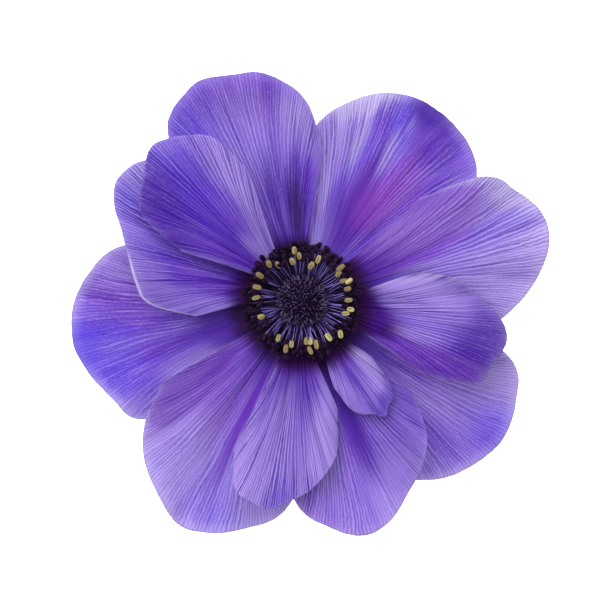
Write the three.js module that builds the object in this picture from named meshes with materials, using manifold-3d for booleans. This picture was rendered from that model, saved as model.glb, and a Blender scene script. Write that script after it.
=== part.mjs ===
import * as THREE from 'three';
import { mergeVertices } from 'three/addons/utils/BufferGeometryUtils.js';
import Module from 'manifold-3d';

// A picked poppy anemone lying face up, in millimetres, with +Z up.
// Azimuths are in degrees, counter-clockwise from +X as seen from above.

const wasm = await Module();
wasm.setup();

// Tepals: twelve thin blades in four layers on the receptacle, rippled at their margins
const TEPAL_THICKNESS = 0.6;
const CLAW_RADIUS = 3.7;
const FULL_RADIUS = 45;
const LOWEST_CLAW_HEIGHT = 5.3;
const LAYER_STEP = 1.05;
const RUFFLE_HEIGHT = 0.6;
const RUFFLE_COUNT = 3.5;
const RUFFLE_POWER = 6;
const CURL_POWER = 4;
const NARROWING_POWER = 1.6;
const SLOPE_STEP = 0.01;
const SETTLING_ROUNDS = 4;
const NOTCH_DEPTH = 0.8;
const NOTCH_WIDTH = 0.03;
const CELLS_ACROSS = 14;
const CELLS_ALONG = 10;
const END_CROWDING = 0.06;

// What each layer does at the full radius: its middle rises or sinks, bending at the given power, and its
// sides lift. Narrowing is the share of its breadth that a tepal loses at its claw.
const LAYERS = [
  { rise: -4.4, power: 1.8, cup: 0, narrowing: 0.2 },
  { rise: 1.6, power: 1.4, cup: 1.2, narrowing: 0.2 },
  { rise: 7.0, power: 1.2, cup: 2.8, narrowing: 0.35 },
  { rise: 13.0, power: 1.1, cup: 4.2, narrowing: 0.45 },
];

// Each tepal spans from one azimuth to another, with its tip between them. Its nine reaches are the
// distances from the flower's axis to its margin, at equal steps of azimuth. Pleat is the height of its
// long folds, folds their number, phase where they start, twist how far its far side stands higher, and
// curl how far its tip bends down.
const TEPALS = [
  {
    name: 'tepal_upper_right', layer: 0, from: 28, to: 92, tip: 53,
    reach: [34, 40, 42.3, 42.5, 43, 41.5, 38.2, 33.7, 26],
    pleat: 0.7, folds: 2.6, phase: 0.1, twist: 0, curl: 0,
  },
  {
    name: 'tepal_lower_right', layer: 0, from: -75, to: -8, tip: -36,
    reach: [27, 35, 39, 42.4, 44.2, 44.9, 43.5, 40.8, 31],
    pleat: 0.65, folds: 2.2, phase: 0.55, twist: 0, curl: 0,
  },
  {
    name: 'tepal_left', layer: 0, from: 156, to: 224, tip: 192,
    reach: [28, 36.1, 40, 42.4, 43, 41.7, 39.5, 37.5, 28],
    pleat: 0.65, folds: 2.4, phase: 0.3, twist: 0, curl: 0,
  },
  {
    name: 'tepal_top', layer: 1, from: 82, to: 134, tip: 116,
    reach: [28, 36.5, 40.3, 42.8, 43.8, 44.8, 43.6, 40.8, 33],
    pleat: 0.9, folds: 2.1, phase: 0.7, twist: 0.8, curl: 1.1,
  },
  {
    name: 'tepal_right', layer: 1, from: -14, to: 41, tip: 17,
    reach: [26, 35, 40.2, 44.1, 46.8, 47.1, 44.4, 41, 29],
    pleat: 0.9, folds: 2.3, phase: 0.2, twist: 0.6, curl: 1.3,
  },
  {
    name: 'tepal_bottom_left', layer: 1, from: 210, to: 272, tip: 243,
    reach: [30, 36.8, 41.5, 44.6, 47.5, 46, 43, 39.6, 32],
    pleat: 0.9, folds: 2.7, phase: 0.45, twist: -0.7, curl: 1.0,
  },
  {
    name: 'tepal_left_front', layer: 2, from: 130, to: 188, tip: 148.5,
    reach: [32, 38.7, 41, 39.4, 35.6, 32.9, 31, 28.4, 20],
    pleat: 0.9, folds: 2.1, phase: 0.85, twist: 1.2, curl: 1.6,
  },
  {
    name: 'tepal_right_front', layer: 2, from: -31, to: 14, tip: -11,
    reach: [26, 35.3, 36.7, 38, 38, 35.5, 31.8, 28, 20],
    pleat: 0.8, folds: 1.8, phase: 0.6, twist: 1.3, curl: 2.2,
  },
  {
    name: 'tepal_bottom_right', layer: 2, from: -98, to: -40, tip: -75,
    reach: [30, 38.2, 42.3, 44.8, 43.9, 40.6, 37.7, 33.8, 27],
    pleat: 0.9, folds: 2.5, phase: 0.15, twist: 0.6, curl: 1.7,
  },
  {
    name: 'tepal_upper_left_front', layer: 3, from: 112.5, to: 157.5, tip: 133,
    reach: [26, 33.8, 36.7, 38.7, 39.5, 37.6, 35.7, 33.3, 24],
    pleat: 0.8, folds: 1.7, phase: 0.35, twist: -0.6, curl: 2.6,
  },
  {
    name: 'tepal_bottom_front', layer: 3, from: 245, to: 288, tip: 260.5,
    reach: [30, 36.7, 38, 38.6, 36.6, 34.3, 31.9, 28.7, 21],
    pleat: 0.8, folds: 2.0, phase: 0.75, twist: 0.7, curl: 2.4,
  },
  {
    name: 'tepal_small_front', layer: 3, from: -70, to: -39, tip: -54,
    reach: [17, 21.6, 23.5, 24.4, 26, 24.9, 24.3, 21.5, 16.5],
    pleat: 0.5, folds: 1.4, phase: 0.5, twist: 0.5, curl: 1.0,
  },
];

// Stem and receptacle, one green body: the stem's cut end stays just clear of the surface
const STEM_RADIUS = 2.4;
const STEM_CUT_HEIGHT = 0.3;
const STEM_CUT_BEVEL = 0.2;
const STEM_NECK_HEIGHT = 3.0;
const STEM_FLARE = { radius: 2.8, height: 3.7 };
const RECEPTACLE_RADIUS = 3.4;
const RECEPTACLE_BOTTOM = 4.4;
const RECEPTACLE_BEVEL = { width: 0.6, height: 0.4 };
const RECEPTACLE_TOP = 9.5;
const STEM_SIDES = 24;

// Stamens: filaments crowded on a collar round the pistil head, each with an anther
const COLLAR = { inner: 2.7, outer: 4.95, bottom: 9.8, top: 10.4 };
const COLLAR_SIDES = 24;
const ROOT_RADIUS = 4.6;
const ROOT_HEIGHT = 10.1;
const FILAMENT_FOOT_RADIUS = 0.29;
const FILAMENT_TIP_RADIUS = 0.24;
const FILAMENT_SIDES = 3;
const ANTHER = { length: 1.7, width: 1.15, thickness: 0.9, sides: 4, rings: 3 };
const WHORLS = [
  { count: 18, radius: 7.9, height: 14.5 },
  { count: 22, radius: 9.3, height: 14.0 },
  { count: 26, radius: 10.6, height: 13.1 },
];
const STAMEN_CHANCE = { place: 0.3, reach: 0.35, lean: 0.05, height: 0.4, turn: 0.9 };
const ANTHER_SLOPE_SHARE = 0.5;
const STAMEN_SEED = 21;

// Pistil head: a dome of carpels, each ending in a short style
const HEAD_RADIUS = 4.5;
const HEAD_HEIGHT = 3.9;
const HEAD_WAIST = 11.3;
const HEAD_NECK_RADIUS = 2.3;
const HEAD_UNDERCUT = { width: 0.45, height: 0.45, slope: 0.1 };
const HEAD_SEAT = RECEPTACLE_TOP + 0.3;
const HEAD_SIDES = 18;
const HEAD_RINGS = 5;
const STYLE_COUNT = 60;
const STYLE_LENGTH = 0.75;
const STYLE_RADIUS = 0.55;
const STYLE_SINK = 0.5;
const STYLE_COVER = 0.92;
const GOLDEN_ANGLE = Math.PI * (3 - Math.sqrt(5));

const material = (color, roughness) => new THREE.MeshStandardMaterial({ color, roughness, metalness: 0 });

// A repeatable source of numbers from 0 to 1
function seededNumbers(seed) {
  let state = seed >>> 0;
  return () => {
    state = (state + 0x6d2b79f5) >>> 0;
    let mixed = Math.imul(state ^ (state >>> 15), state | 1);
    mixed ^= mixed + Math.imul(mixed ^ (mixed >>> 7), mixed | 61);
    return ((mixed ^ (mixed >>> 14)) >>> 0) / 4294967296;
  };
}

// A smooth curve through evenly spaced values, read at a share of its length
function smoothAt(values, share) {
  const last = values.length - 1;
  const index = Math.min(Math.floor(share * last), last - 1);
  const local = share * last - index;
  const before = values[Math.max(index - 1, 0)];
  const start = values[index];
  const end = values[index + 1];
  const after = values[Math.min(index + 2, last)];
  const startSlope = (end - before) / 2;
  const endSlope = (after - start) / 2;
  const square = local * local;
  const cube = square * local;
  return (
    start * (2 * cube - 3 * square + 1) +
    startSlope * (cube - 2 * square + local) +
    end * (3 * square - 2 * cube) +
    endSlope * (cube - square)
  );
}

function tipShare(tepal) {
  return (tepal.tip - tepal.from) / (tepal.to - tepal.from);
}

function reachAt(tepal, across) {
  const fromTip = (across - tipShare(tepal)) / NOTCH_WIDTH;
  return smoothAt(tepal.reach, across) - NOTCH_DEPTH * Math.exp(-fromTip * fromTip);
}

function heightAt(tepal, across, along, radius) {
  const layer = LAYERS[tepal.layer];
  const out = (radius - CLAW_RADIUS) / (FULL_RADIUS - CLAW_RADIUS);
  const side = 2 * across - 1;
  const fold = Math.sin(2 * Math.PI * (tepal.folds * across + tepal.phase));
  const ruffle = Math.sin(2 * Math.PI * (RUFFLE_COUNT * across + 2 * tepal.phase));
  return (
    LOWEST_CLAW_HEIGHT +
    LAYER_STEP * tepal.layer +
    layer.rise * Math.pow(Math.max(out, 0), layer.power) +
    (layer.cup * side * side + tepal.twist * side + tepal.pleat * fold) * out +
    RUFFLE_HEIGHT * Math.pow(along, RUFFLE_POWER) * ruffle * out -
    (tepal.curl + (tepal.droop ?? 0)) * Math.pow(along, CURL_POWER)
  );
}

// A point of the tepal's middle surface, from its narrow claw to its margin and from side to side
function tepalPoint(tepal, across, along) {
  const spread = 1 - LAYERS[tepal.layer].narrowing * Math.pow(1 - along, NARROWING_POWER);
  const fromTip = THREE.MathUtils.lerp(tepal.from, tepal.to, across) - tepal.tip;
  const azimuth = THREE.MathUtils.degToRad(tepal.tip + spread * fromTip);
  const radius = THREE.MathUtils.lerp(CLAW_RADIUS, reachAt(tepal, across), along);
  const height = heightAt(tepal, across, along, radius);
  return new THREE.Vector3(radius * Math.cos(azimuth), radius * Math.sin(azimuth), height);
}

function tepalNormal(tepal, across, along) {
  const sideways = tepalPoint(tepal, Math.min(across + SLOPE_STEP, 1), along)
    .sub(tepalPoint(tepal, Math.max(across - SLOPE_STEP, 0), along));
  const outward = tepalPoint(tepal, across, Math.min(along + SLOPE_STEP, 1))
    .sub(tepalPoint(tepal, across, Math.max(along - SLOPE_STEP, 0)));
  return outward.cross(sideways).normalize();
}

// Shares across the tepal, closer together at its sides, with one on its tip
function sharesAcross(tepal) {
  const shares = [];
  for (let cell = 0; cell <= CELLS_ACROSS; cell += 1) {
    const even = cell / CELLS_ACROSS;
    shares.push(even - END_CROWDING * Math.sin(2 * Math.PI * even));
  }
  const tip = tipShare(tepal);
  const distances = shares.map((share) => Math.abs(share - tip));
  shares[distances.indexOf(Math.min(...distances))] = tip;
  return shares;
}

// A closed blade: two faces split into the same triangles, and a wall round the edge
function tepalGeometry(tepal) {
  const shares = sharesAcross(tepal);
  const columns = shares.length;
  const rows = CELLS_ALONG + 1;
  const points = [];
  for (const face of [0.5, -0.5]) {
    for (let row = 0; row < rows; row += 1) {
      for (const across of shares) {
        const along = row / CELLS_ALONG;
        const offset = tepalNormal(tepal, across, along).multiplyScalar(face * TEPAL_THICKNESS);
        points.push(...tepalPoint(tepal, across, along).add(offset).toArray());
      }
    }
  }
  const faceSize = rows * columns;
  const at = (row, column) => row * columns + column;
  const triangles = [];
  for (let row = 0; row < rows - 1; row += 1) {
    for (let column = 0; column < columns - 1; column += 1) {
      const corners = [at(row, column), at(row + 1, column), at(row + 1, column + 1), at(row, column + 1)];
      const [a, b, c, d] = corners;
      triangles.push(a, b, c, a, c, d);
      triangles.push(a + faceSize, c + faceSize, b + faceSize, a + faceSize, d + faceSize, c + faceSize);
    }
  }
  const edge = [];
  for (let row = 0; row < rows - 1; row += 1) edge.push(at(row, 0));
  for (let column = 0; column < columns - 1; column += 1) edge.push(at(rows - 1, column));
  for (let row = rows - 1; row > 0; row -= 1) edge.push(at(row, columns - 1));
  for (let column = columns - 1; column > 0; column -= 1) edge.push(at(0, column));
  edge.forEach((start, index) => {
    const end = edge[(index + 1) % edge.length];
    triangles.push(start, start + faceSize, end + faceSize, start, end + faceSize, end);
  });
  const geometry = new THREE.BufferGeometry();
  geometry.setAttribute('position', new THREE.Float32BufferAttribute(points, 3));
  geometry.setIndex(triangles);
  return geometry;
}

// The lowest tepals sink until each one's lowest point is on the surface, so the bloom rests on three points
function settle(tepal) {
  tepal.droop = 0;
  for (let round = 0; round < SETTLING_ROUNDS; round += 1) {
    const geometry = tepalGeometry(tepal);
    geometry.computeBoundingBox();
    tepal.droop += geometry.boundingBox.min.z;
  }
}

function toSolid(geometry) {
  const bare = geometry.clone();
  bare.deleteAttribute('normal');
  bare.deleteAttribute('uv');
  const merged = mergeVertices(bare, 1e-4);
  return new wasm.Manifold(new wasm.Mesh({
    numProp: 3,
    vertProperties: new Float32Array(merged.attributes.position.array),
    triVerts: new Uint32Array(merged.index.array),
  }));
}

function toGeometry(solid) {
  const mesh = solid.getMesh();
  const geometry = new THREE.BufferGeometry();
  geometry.setAttribute('position', new THREE.BufferAttribute(mesh.vertProperties, 3));
  geometry.setIndex(new THREE.BufferAttribute(mesh.triVerts, 1));
  return geometry;
}

function lathe(profile, sides) {
  const points = profile.map(([radius, height]) => new THREE.Vector2(radius, height));
  return new THREE.LatheGeometry(points, sides).rotateX(Math.PI / 2);
}

// A tapered rod from one point to another
function rod(start, end, startRadius, endRadius, sides) {
  const way = end.clone().sub(start);
  const geometry = new THREE.CylinderGeometry(endRadius, startRadius, way.length(), sides);
  const turn = new THREE.Quaternion().setFromUnitVectors(new THREE.Vector3(0, 1, 0), way.clone().normalize());
  const middle = start.clone().addScaledVector(way, 0.5);
  return geometry.applyMatrix4(new THREE.Matrix4().compose(middle, turn, new THREE.Vector3(1, 1, 1)));
}

function polar(radius, azimuth, height) {
  return new THREE.Vector3(radius * Math.cos(azimuth), radius * Math.sin(azimuth), height);
}

function stemGeometry() {
  return lathe([
    [0, STEM_CUT_HEIGHT],
    [STEM_RADIUS - STEM_CUT_BEVEL, STEM_CUT_HEIGHT],
    [STEM_RADIUS, STEM_CUT_HEIGHT + STEM_CUT_BEVEL],
    [STEM_RADIUS, STEM_NECK_HEIGHT],
    [STEM_FLARE.radius, STEM_FLARE.height],
    [RECEPTACLE_RADIUS, RECEPTACLE_BOTTOM],
    [RECEPTACLE_RADIUS, RECEPTACLE_TOP - RECEPTACLE_BEVEL.height],
    [RECEPTACLE_RADIUS - RECEPTACLE_BEVEL.width, RECEPTACLE_TOP],
    [0, RECEPTACLE_TOP],
  ], STEM_SIDES);
}

// An anther lies along its filament's azimuth, turned by a chance angle
function antherGeometry(centre, azimuth, slope, turn) {
  const geometry = new THREE.SphereGeometry(0.5, ANTHER.sides, ANTHER.rings);
  geometry.rotateZ(Math.PI / 2);
  geometry.scale(ANTHER.length, ANTHER.width, ANTHER.thickness);
  geometry.rotateZ(turn);
  geometry.rotateY(-slope);
  geometry.rotateZ(azimuth);
  return geometry.translate(centre.x, centre.y, centre.z);
}

function stamensGeometry() {
  const random = seededNumbers(STAMEN_SEED);
  const spread = (size) => size * (2 * random() - 1);
  const chance = STAMEN_CHANCE;
  const { inner, outer, bottom, top } = COLLAR;
  const ring = [[inner, bottom], [outer, bottom], [outer, top], [inner, top], [inner, bottom]];
  let solid = toSolid(lathe(ring, COLLAR_SIDES));
  for (const whorl of WHORLS) {
    for (let index = 0; index < whorl.count; index += 1) {
      const azimuth = (2 * Math.PI * (index + spread(chance.place))) / whorl.count;
      const root = polar(ROOT_RADIUS, azimuth, ROOT_HEIGHT);
      const reach = whorl.radius + spread(chance.reach);
      const tip = polar(reach, azimuth + spread(chance.lean), whorl.height + spread(chance.height));
      const slope = ANTHER_SLOPE_SHARE * Math.atan2(tip.z - root.z, reach - ROOT_RADIUS);
      const filament = rod(root, tip, FILAMENT_FOOT_RADIUS, FILAMENT_TIP_RADIUS, FILAMENT_SIDES);
      solid = solid.add(toSolid(filament));
      solid = solid.add(toSolid(antherGeometry(tip, azimuth, slope, spread(chance.turn))));
    }
  }
  return toGeometry(solid);
}

function pistilGeometry() {
  const { width, height, slope } = HEAD_UNDERCUT;
  const profile = [
    [0, HEAD_SEAT],
    [HEAD_NECK_RADIUS, HEAD_SEAT],
    [HEAD_NECK_RADIUS, HEAD_WAIST - height - slope],
    [HEAD_RADIUS - width, HEAD_WAIST - height],
  ];
  for (let ring = 0; ring < HEAD_RINGS; ring += 1) {
    const lift = (Math.PI / 2) * (ring / HEAD_RINGS);
    profile.push([HEAD_RADIUS * Math.cos(lift), HEAD_WAIST + HEAD_HEIGHT * Math.sin(lift)]);
  }
  profile.push([0, HEAD_WAIST + HEAD_HEIGHT]);
  let solid = toSolid(lathe(profile, HEAD_SIDES));
  for (let index = 0; index < STYLE_COUNT; index += 1) {
    const lift = Math.asin(1 - STYLE_COVER * ((index + 0.5) / STYLE_COUNT));
    const azimuth = index * GOLDEN_ANGLE;
    const foot = polar(HEAD_RADIUS * Math.cos(lift), azimuth, HEAD_WAIST + HEAD_HEIGHT * Math.sin(lift));
    const outward = polar(Math.cos(lift) / HEAD_RADIUS, azimuth, Math.sin(lift) / HEAD_HEIGHT).normalize();
    const root = foot.clone().addScaledVector(outward, -STYLE_SINK);
    const tip = foot.clone().addScaledVector(outward, STYLE_LENGTH);
    solid = solid.add(toSolid(rod(root, tip, STYLE_RADIUS, 0, 3)));
  }
  return toGeometry(solid);
}

const LAYER_COLOURS = [0x6a4bc0, 0x7a5fd0, 0x8a70d8, 0x5a42b8];
const flower = new THREE.Group();

function addPiece(name, geometry, color, roughness) {
  const mesh = new THREE.Mesh(geometry, material(color, roughness));
  mesh.name = name;
  flower.add(mesh);
}

addPiece('receptacle_and_stem', stemGeometry(), 0x6f8050, 0.6);
TEPALS.filter((tepal) => tepal.layer === 0).forEach(settle);
for (const tepal of TEPALS) addPiece(tepal.name, tepalGeometry(tepal), LAYER_COLOURS[tepal.layer], 0.65);
addPiece('stamens', stamensGeometry(), 0x1c1426, 0.7);
addPiece('pistil_head', pistilGeometry(), 0x241a3a, 0.8);

// The origin is the bottom centre of the bloom's own box, on the surface it lies on
const box = new THREE.Box3().setFromObject(flower, true);
const centre = box.getCenter(new THREE.Vector3());
flower.position.set(-centre.x, -centre.y, -box.min.z);
flower.updateMatrixWorld(true);

export default flower;
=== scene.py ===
"""A picked poppy anemone, dressed round its solids: veined tepals, stamens, pistil head and cut stem."""

import math
import random
from dataclasses import dataclass

import bmesh
import bpy
from bpy.props import FloatProperty, FloatVectorProperty, IntProperty, PointerProperty
from mathutils import Matrix, Vector, noise


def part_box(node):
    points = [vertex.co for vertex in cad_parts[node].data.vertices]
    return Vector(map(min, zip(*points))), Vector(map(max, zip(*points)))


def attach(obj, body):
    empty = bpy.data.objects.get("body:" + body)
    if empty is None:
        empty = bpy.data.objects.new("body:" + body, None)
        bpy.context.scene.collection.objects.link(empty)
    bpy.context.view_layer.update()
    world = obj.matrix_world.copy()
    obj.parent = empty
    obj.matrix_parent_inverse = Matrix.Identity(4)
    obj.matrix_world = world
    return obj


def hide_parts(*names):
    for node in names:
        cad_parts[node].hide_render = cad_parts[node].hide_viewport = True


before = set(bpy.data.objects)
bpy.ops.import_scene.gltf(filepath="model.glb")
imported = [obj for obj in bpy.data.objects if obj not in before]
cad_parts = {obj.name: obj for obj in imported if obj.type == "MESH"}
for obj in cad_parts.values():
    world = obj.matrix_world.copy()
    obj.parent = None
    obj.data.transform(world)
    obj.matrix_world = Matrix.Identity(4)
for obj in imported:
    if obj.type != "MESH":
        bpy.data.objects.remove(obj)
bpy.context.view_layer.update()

bl_info = {
    "name": "Poppy anemone bloom",
    "version": (1, 0, 0),
    "blender": (4, 5, 0),
    "location": "3D View > Sidebar > Anemone",
    "description": "Builds a picked anemone bloom lying face up",
    "category": "Add Mesh",
}

MM = 0.001
STEM_LOW, STEM_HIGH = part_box("receptacle_and_stem")
STEM_CUT_HEIGHT = 0.3
# The flower's axis, and the height that its own zero has in the frame
AXIS = Vector((
    (STEM_LOW.x + STEM_HIGH.x) / 2,
    (STEM_LOW.y + STEM_HIGH.y) / 2,
    STEM_LOW.z - STEM_CUT_HEIGHT * MM,
))

# Form of the tepals, in millimetres, as in the solids
CLAW_RADIUS = 3.7
FULL_RADIUS = 45
LOWEST_CLAW_HEIGHT = 5.3
LAYER_STEP = 1.05
RUFFLE_HEIGHT = 0.6
RUFFLE_COUNT = 3.5
RUFFLE_POWER = 6
CURL_POWER = 4
NARROWING_POWER = 1.6
POINT_HEIGHT = 0.15
POINT_WIDTH = 0.05
SETTLING_ROUNDS = 3
SETTLING_STEPS = 60

# Fine relief that the solids don't have, in millimetres. The margin's ripple has broad and fine waves, and
# the dents and creases have waves across a tepal and along it. A crease wanders by a share of the gap
# between two, is full at a share of the tepal's length and then loses a share of its depth
RIPPLE_DEPTH = 0.12
RIPPLE_WAVES = (13, 45)
DENT_HEIGHT = 0.5
DENT_WAVES = (5, 3.5)
CREASE_DEPTH = 0.4
CREASE_LEVEL = 0.6
CREASE_SHARPNESS = 0.7
CREASE_WANDER = 0.3
CREASE_BENDS = 1.7
CREASE_FULL_AT = 0.25
CREASE_FADE = 0.75
CREASE_WAVES = (4, 1.5)

# Veins: half their width in millimetres, where they fade and where they are full, how far one strays
# from its line, how much they spread to the sides, their waves along a tepal, and where they fork
VEIN_EDGE = 0.17
VEIN_CORE = 0.08
VEIN_STRAY = 0.4
VEIN_FAN = 0.45
VEIN_WAVES_ALONG = 0.6
FIRST_FORK = (0.12, 0.45)
SECOND_FORK = (0.45, 0.95)

# Waves of chance across a tepal and along it: two bend the veins, and three vary the colour
DRIFT_WAVES = (5.0, 2.5)
DRIFT_SIZE = 0.035
QUIVER_WAVES = (70.0, 40.0)
QUIVER_SIZE = 0.007
STREAK_WAVES = (120.0, 5.0)
BAND_WAVES = (16.0, 1.6)
MOTTLE_WAVES = (130.0, 80.0)

# Dark base of the tepals, partly pigment and partly painted shade under the stamens and the tepals above:
# how ragged its end is, where its shade ends in millimetres and how much further that is on a darker tepal,
# and where the darkest tone round the stamens ends and where it is full
BASE_RAGGEDNESS = 0.16
SHADE_END = 9.2
SHADE_GROWTH = 13
NIGHT_END = 11.2
NIGHT_FULL = 9.6

# Share of white at the margin of the lowest layer, and how much less each layer above it has
MARGIN_WHITE = 0.21
MARGIN_WHITE_STEP = 0.07

# Share of the light that passes each face of a tepal, by its colour
CLEARNESS = {
    "violet": 0.3, "lilac": 0.36, "pale": 0.46, "silver": 0.36, "white": 0.52, "blue": 0.28, "purple": 0.26,
    "magenta": 0.28, "deep": 0.1, "ink": 0.14, "shade": 0.02, "night": 0.0, "vein": 0.1, "silk": 0.3,
}

# Radius and height of the stem's outline in millimetres, from its pith up, then its ribs, with their
# twist in radians a metre, and its colours
STEM_PROFILE = (
    (0, 0.5), (1.3, 0.46), (2.0, 0.36), (2.22, 0.31), (2.38, 0.55), (2.36, 1.6), (2.4, 2.9), (2.75, 3.6),
    (3.25, 4.25), (3.4, 4.8), (3.4, 9.0), (3.2, 9.4), (2.8, 9.5), (0, 9.5),
)
RIB_DEPTH = 0.025
RIB_COUNT = 11
RIB_TWIST = 300
STEM_GREEN = (112, 124, 70)
STEM_BROWN = (72, 62, 48)
STEM_PURPLE = (66, 38, 74)
STEM_PITH = (182, 190, 140)

# Pistil head, in millimetres
HEAD_RADIUS = 4.0
HEAD_HEIGHT = 3.7
HEAD_BELLY = 1.4
HEAD_WAIST = 11.3
STYLE_RADIUS = 0.045
STYLE_LENGTH = (0.4, 0.7)
STYLE_LENGTH_AT_WAIST = 0.6
STYLE_SINK = 0.98
STYLE_COVER = 1.05
STYLE_SAG = 0.05
GOLDEN_ANGLE = math.pi * (3 - math.sqrt(5))

# How far chance moves a style: round the head in radians, its lean as a share of its way out, along each
# axis, and its bend in millimetres
STYLE_TURN = 0.1
STYLE_LEAN = (0.35, 0.35, 0.2)
STYLE_BEND = 0.08

# Stamens, in millimetres. Where two sizes are given, chance picks one between them. An anther's groove and
# bluntness are shares of its own size
ROOT_RADIUS = 4.3
ROOT_HEIGHT = 10.1
# Radius of the dark disc of painted shade beneath the filaments
PAINTED_SHADE_DISC_RADIUS = 6.2
FILAMENT_RADIUS = (0.06, 0.09)
FILAMENT_BRIGHT_FROM = 0.3
YELLOW_HEIGHT = 15.4
YELLOW_LENGTH = (1.45, 1.9)
DARK_LENGTH = (1.3, 1.8)
ANTHER_WIDTH = (0.85, 1.05)
ANTHER_THICKNESS = 0.9
ANTHER_GROOVE = 0.45
ANTHER_GROOVE_WIDTH = 0.12
ANTHER_BLUNTNESS = 0.35

# Count, radius and height of each whorl of dark anthers
DARK_WHORLS = ((36, 8.2, 14.8), (52, 9.2, 14.1), (60, 10.2, 13.2))

# How far chance moves a stamen: along its whorl as a share of the gap there, outwards and upwards in
# millimetres, its root round the axis in radians, and its filament's sag across and upwards in millimetres
WHORL_STRAY = 0.45
RADIUS_STRAY = 0.6
HEIGHT_STRAY = 0.4
ROOT_STRAY = 0.16
SAG_ACROSS = 0.3
SAG_UP = (0.2, 1.0)

# How far chance turns an anther, in radians: a yellow or a dark one round the axis, its dip and its roll
YELLOW_LEAN = 0.25
DARK_LEAN = 0.7
ANTHER_DIP = (-0.7, 0.2)
ANTHER_ROLL = 0.3

# Each fine part's colour at its root, at its tip and on worn strands, the most that wear covers, roughness
# and specular level
STRAND_FINISHES = {
    # The filaments' root colour also colours the dark disc of painted shade beneath them
    "filaments": ((20, 7, 34), (148, 130, 224), (26, 10, 46), 0.95, 0.45, 0.04),
    "dark_anthers": ((16, 5, 23), (6, 1, 9), (38, 16, 46), 0.7, 0.4, 0.05),
    "yellow_anthers": ((178, 168, 112), (58, 46, 16), (108, 86, 66), 0.8, 0.6, 0.1),
    "pistil_velvet": ((14, 3, 24), (184, 158, 228), (22, 6, 36), 0.95, 0.6, 0.03),
}

# The photograph's frame, and the camera straight above: its height and reach in metres, and its sensor in
# millimetres
PHOTO_WIDTH = 612
PHOTO_HEIGHT = 597
PIXEL_MM = 0.185
BLOOM_CENTRE_PX = (310, 304)
CAMERA_HEIGHT = 2.5
CAMERA_REACH = 20
SENSOR_WIDTH = 36.0

# Place and size of each lamp in metres, its power in watts, and the light of the floor and the room
LAMPS = (
    ("key", (-0.25, 0.38, 0.9), 1.0, 14.0),
    ("fill", (0.6, -0.4, 0.8), 0.6, 2.5),
)
FLOOR_SIZE = 4.0
FLOOR_GLOW = 1.2
ROOM_LIGHT = 0.45


def tone(red, green, blue):
    """A colour given as it looks on a screen, 0 to 255, as the linear light that a shader takes."""
    shares = [part / 255 for part in (red, green, blue)]
    return tuple(s / 12.92 if s <= 0.04045 else ((s + 0.055) / 1.055) ** 2.4 for s in shares)


@dataclass
class Layer:
    """A layer of tepals: how far its middle rises and its sides lift in millimetres, how its rise bends,
    and how much its claws narrow.
    """
    rise: float
    power: float
    cup: float
    narrowing: float


@dataclass
class Tepal:
    """One tepal: its span of azimuth and its tip in degrees, its margin's reach, its folds and its colours.

    The reach is in millimetres from the axis, at nine equal steps across. Pleat, twist, curl and droop
    are heights in millimetres. Folds, veins and creases are counted across, and the dark base, partly
    pigment and partly painted shade under the stamens and the tepals above, ends at the share along the
    tepal that dark gives. A patch is a ragged, soft-edged area: its colour, where it lies across and
    along the tepal, how far it spreads each way, and its strength. A mark is an even area over the
    streaks, with how soft its edge is as well: painted shade in a fold, painted shade where a tepal
    beneath holds back the light from below, or a change of tone.
    """
    name: str
    layer: int
    span: tuple
    tip: float
    reach: tuple
    pleat: float
    folds: float
    phase: float
    twist: float
    curl: float
    ground: str
    veins: int
    creases: int
    dark: float
    vein_share: float
    rim_share: float
    patches: tuple
    marks: tuple
    droop: float = 0.0


# From the lowest layer up
LAYERS = (
    Layer(rise=-4.4, power=1.8, cup=0, narrowing=0.05),
    Layer(rise=1.6, power=1.4, cup=1.2, narrowing=0.05),
    Layer(rise=7.0, power=1.2, cup=2.8, narrowing=0.35),
    Layer(rise=13.0, power=1.1, cup=4.2, narrowing=0.45),
)

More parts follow.
